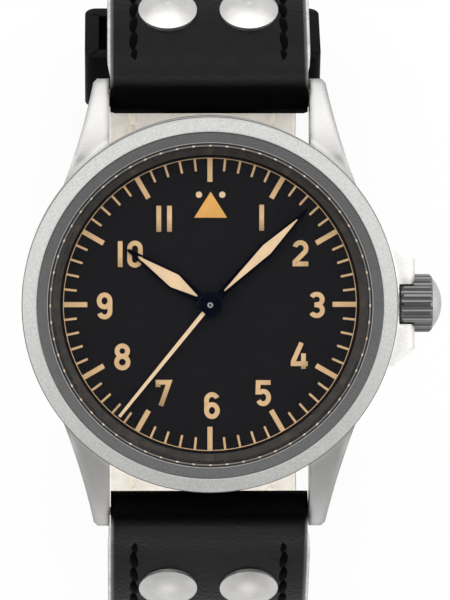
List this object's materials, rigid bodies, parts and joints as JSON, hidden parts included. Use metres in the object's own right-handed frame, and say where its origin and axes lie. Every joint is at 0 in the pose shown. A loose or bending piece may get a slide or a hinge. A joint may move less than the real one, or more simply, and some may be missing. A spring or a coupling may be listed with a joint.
{
  "type": "pilot watch",
  "caption": "Round steel pilot watch with crown guards and lugs, black dial with hour numerals and leaf hands, on a riveted leather strap closed to a loop by a pin buckle.",
  "frame": {"origin": "centre of the case back's outer face", "axes": "+X to the crown at 3 o'clock, +Y to 12 o'clock, +Z out of the dial"},
  "size_m": [0.0419, 0.0735, 0.0595],
  "materials": {
    "satin_steel": "fine bead-blasted satin steel",
    "bezel_steel": "satin outside, darker blasted inside",
    "polished_steel": "polished steel",
    "crown_steel": "satin steel, darker between the flutes",
    "sapphire": "clear, coated",
    "rehaut_black": "matt black",
    "dial_black": "matt black with cream print",
    "hand_black": "black",
    "lume": "aged cream luminous filling",
    "seconds_cream": "cream",
    "gasket_rubber": "black",
    "movement_plate": "rhodium grained",
    "movement_gold": "gilt",
    "strap_leather": "black smooth leather",
    "strap_lining": "beige suede"
  },
  "bodies": {
    "case": {"case_middle": "satin_steel", "case_back": "satin_steel", "case_back_gasket": "gasket_rubber", "bezel": "bezel_steel", "crystal": "sapphire", "crystal_gasket": "gasket_rubber", "rehaut": "rehaut_black", "spring_bar_12": "polished_steel", "spring_bar_6": "polished_steel", "crown_tube": "polished_steel", "main_plate": "movement_plate", "barrel_bridge": "movement_plate", "train_bridge": "movement_plate", "balance_cock": "movement_plate", "movement_ring": "movement_plate", "rotor_post": "polished_steel", "dial": "dial_black", "hairspring": "polished_steel"},
    "winding": {"winding_pinion": "polished_steel", "sliding_pinion": "polished_steel"},
    "crown": {"crown": "crown_steel", "crown_gasket": "gasket_rubber", "winding_stem": "polished_steel"},
    "crown_wheel": {"crown_wheel": "polished_steel"},
    "ratchet": {"ratchet_wheel": "polished_steel"},
    "click": {"click": "polished_steel"},
    "barrel": {"barrel": "movement_gold"},
    "minute": {"centre_wheel": "movement_gold", "cannon_pinion": "polished_steel", "minute_hand": "hand_black", "minute_hand_lume": "lume"},
    "third": {"third_wheel": "movement_gold"},
    "fourth": {"fourth_wheel": "movement_gold"},
    "seconds": {"seconds_pinion": "polished_steel", "seconds_hand": "seconds_cream"},
    "escape": {"escape_wheel": "movement_gold"},
    "pallet": {"pallet_fork": "polished_steel"},
    "balance": {"balance_wheel": "movement_gold"},
    "rotor": {"winding_rotor": "movement_plate"},
    "minute_work": {"minute_wheel": "movement_gold"},
    "hour": {"hour_wheel": "movement_gold", "hour_hand": "hand_black", "hour_hand_lume": "lume"},
    "strap_12": {"strap_12_leather": "strap_leather", "strap_12_lining": "strap_lining", "rivets_12": "polished_steel", "fixed_keeper": "strap_leather", "buckle_bar": "polished_steel"},
    "strap_6": {"strap_6_leather": "strap_leather", "strap_6_lining": "strap_lining", "rivets_6": "polished_steel"},
    "free_keeper": {"free_keeper": "strap_leather"},
    "buckle": {"buckle_frame": "satin_steel"},
    "tongue": {"buckle_tongue": "satin_steel"}
  },
  "joints": [
    {"name": "seconds_turn", "type": "hinge", "parent": "case", "child": "seconds", "pos_m": [0, 0, 0.0037], "axis": [0, 0, -1], "continuous": true},
    {"name": "minute_turn", "type": "hinge", "parent": "case", "child": "minute", "pos_m": [0, 0, 0.0037], "axis": [0, 0, -1], "continuous": true},
    {"name": "hour_turn", "type": "hinge", "parent": "case", "child": "hour", "pos_m": [0, 0, 0.0037], "axis": [0, 0, -1], "continuous": true},
    {"name": "third_turn", "type": "hinge", "parent": "case", "child": "third", "pos_m": [0.00194, -0.00336, 0.0037], "axis": [0, 0, -1], "continuous": true},
    {"name": "fourth_turn", "type": "hinge", "parent": "case", "child": "fourth", "pos_m": [0.00061, -0.00701, 0.0037], "axis": [0, 0, -1], "continuous": true},
    {"name": "escape_turn", "type": "hinge", "parent": "case", "child": "escape", "pos_m": [-0.00237, -0.00753, 0.0037], "axis": [0, 0, -1], "continuous": true},
    {"name": "barrel_turn", "type": "hinge", "parent": "case", "child": "barrel", "pos_m": [0.00153, 0.0057, 0.0037], "axis": [0, 0, -1], "continuous": true},
    {"name": "minute_work_turn", "type": "hinge", "parent": "case", "child": "minute_work", "pos_m": [-0.00273, -0.00099, 0.0037], "axis": [0, 0, -1], "continuous": true},
    {"name": "pallet_swing", "type": "hinge", "parent": "case", "child": "pallet", "pos_m": [-0.00432, -0.00589, 0.0037], "axis": [0, 0, 1], "range_deg": [-5, 5]},
    {"name": "balance_swing", "type": "hinge", "parent": "case", "child": "balance", "pos_m": [-0.00749, -0.00324, 0.0037], "axis": [0, 0, 1], "range_deg": [-270, 270], "stiffness_Nm_per_rad": 0.0000001, "deforming": ["hairspring"]},
    {"name": "rotor_turn", "type": "hinge", "parent": "case", "child": "rotor", "pos_m": [0, 0, 0.0037], "axis": [0, 0, 1], "continuous": true},
    {"name": "crown_turn", "type": "hinge", "parent": "case", "child": "winding", "pos_m": [0.008, 0, 0.0037], "axis": [1, 0, 0], "continuous": true},
    {"name": "crown_pull", "type": "slide", "parent": "winding", "child": "crown", "axis": [1, 0, 0], "range_m": [0, 0.0012]},
    {"name": "crown_wheel_turn", "type": "hinge", "parent": "case", "child": "crown_wheel", "pos_m": [0.00705, 0.00164, 0.0037], "axis": [0, 0, 1], "continuous": true},
    {"name": "ratchet_turn", "type": "hinge", "parent": "case", "child": "ratchet", "pos_m": [0.00153, 0.0057, 0.0037], "axis": [0, 0, 1], "continuous": true},
    {"name": "click_swing", "type": "hinge", "parent": "case", "child": "click", "pos_m": [-0.00405, 0.00648, 0.0037], "axis": [0, 0, 1], "range_deg": [-4, 6]},
    {"name": "strap_12_swing", "type": "hinge", "parent": "case", "child": "strap_12", "pos_m": [0, 0.021, 0.0019], "axis": [1, 0, 0], "range_deg": [0, 75], "deforming": ["strap_6_leather", "strap_6_lining"]},
    {"name": "strap_6_swing", "type": "hinge", "parent": "case", "child": "strap_6", "pos_m": [0, -0.021, 0.0019], "axis": [-1, 0, 0], "range_deg": [0, 75], "deforming": ["strap_6_leather", "strap_6_lining"]},
    {"name": "keeper_slide", "type": "hinge", "parent": "strap_12", "child": "free_keeper", "pos_m": [0, 0.00945, -0.01982], "axis": [1, 0, 0], "range_deg": [-3, 12]},
    {"name": "buckle_swing", "type": "hinge", "parent": "strap_12", "child": "buckle", "pos_m": [0, 0, -0.04427], "axis": [1, 0, 0], "range_deg": [0, 3]},
    {"name": "tongue_swing", "type": "hinge", "parent": "buckle", "child": "tongue", "pos_m": [0, 0, -0.04427], "axis": [1, 0, 0], "range_deg": [0, 3]}
  ],
  "couplings": [
    {"joint": "minute_turn", "follows": "seconds_turn", "ratio": 0.016667},
    {"joint": "hour_turn", "follows": "seconds_turn", "ratio": 0.0013889},
    {"joint": "third_turn", "follows": "seconds_turn", "ratio": -0.13333},
    {"joint": "fourth_turn", "follows": "seconds_turn", "ratio": 1},
    {"joint": "escape_turn", "follows": "seconds_turn", "ratio": -10},
    {"joint": "barrel_turn", "follows": "seconds_turn", "ratio": -0.002381},
    {"joint": "minute_work_turn", "follows": "seconds_turn", "ratio": -0.0055556},
    {"joint": "crown_wheel_turn", "follows": "crown_turn", "ratio": 0.5},
    {"joint": "ratchet_turn", "follows": "crown_turn", "ratio": -0.23772}
  ]
}
